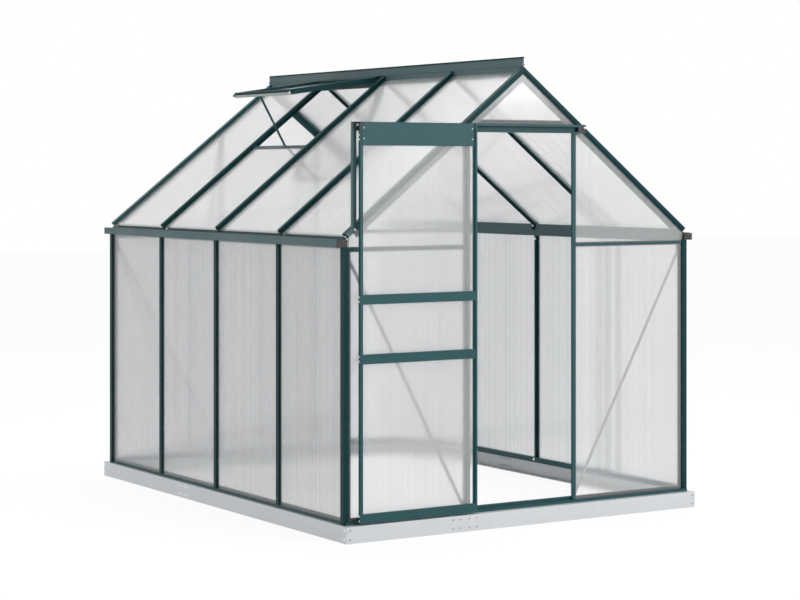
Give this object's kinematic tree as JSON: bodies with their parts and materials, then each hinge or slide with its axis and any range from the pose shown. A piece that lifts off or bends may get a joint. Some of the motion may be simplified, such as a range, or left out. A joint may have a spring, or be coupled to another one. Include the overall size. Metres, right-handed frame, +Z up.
{
  "type": "polycarbonate greenhouse",
  "caption": "Walk-in garden greenhouse with translucent twin-wall panels in a dark green metal frame, a sliding door, an open roof vent, gutters and a galvanised steel base.",
  "frame": {"origin": "middle of the footprint, at the height of the ground under the base", "axes": "+Z up, Y along the ridge with the door gable at -Y, X across the gables"},
  "size_m": [1.935, 2.44, 2.083],
  "materials": {
    "frame_paint": "satin dark green coating on aluminium profiles",
    "galvanised_steel": "bright zinc coating",
    "glazing": "milky translucent twin-wall sheet with upright flutes",
    "black_plastic": "moulded, slightly matt",
    "bare_aluminium": "plain mill finish"
  },
  "bodies": {
    "house": {"base_front": "galvanised_steel", "base_back": "galvanised_steel", "base_left": "galvanised_steel", "base_right": "galvanised_steel", "base_corner_angles": "galvanised_steel", "base_splice_plates": "galvanised_steel", "sill_front": "frame_paint", "sill_back": "frame_paint", "sill_left": "frame_paint", "sill_right": "frame_paint", "corner_posts": "frame_paint", "side_studs_left": "frame_paint", "side_studs_right": "frame_paint", "door_posts": "frame_paint", "back_studs": "frame_paint", "gutter_left": "frame_paint", "gutter_right": "frame_paint", "gutter_end_caps": "black_plastic", "gable_rafters_front": "frame_paint", "gable_rafters_back": "frame_paint", "roof_bars_left": "frame_paint", "roof_bars_right": "frame_paint", "ridge": "frame_paint", "door_header": "frame_paint", "eave_bars": "frame_paint", "corner_gussets": "frame_paint", "gable_braces": "bare_aluminium", "door_track": "frame_paint", "track_end_plugs": "black_plastic", "track_post": "frame_paint", "side_panels_left": "glazing", "side_panels_right": "glazing", "roof_panels_left": "glazing", "roof_panels_right": "glazing", "gable_panels_front": "glazing", "gable_panels_back": "glazing", "vent_frame": "frame_paint", "vent_panel": "glazing", "vent_crossbar": "frame_paint", "vent_stay": "frame_paint"},
    "door": {"door_stiles": "frame_paint", "door_rails": "frame_paint", "door_head_plate": "frame_paint", "door_panels": "glazing", "door_wheels": "black_plastic"}
  },
  "joints": [
    {"name": "door_slide", "type": "slide", "parent": "house", "child": "door", "axis": [1, 0, 0], "range_m": [0, 0.5745]}
  ]
}
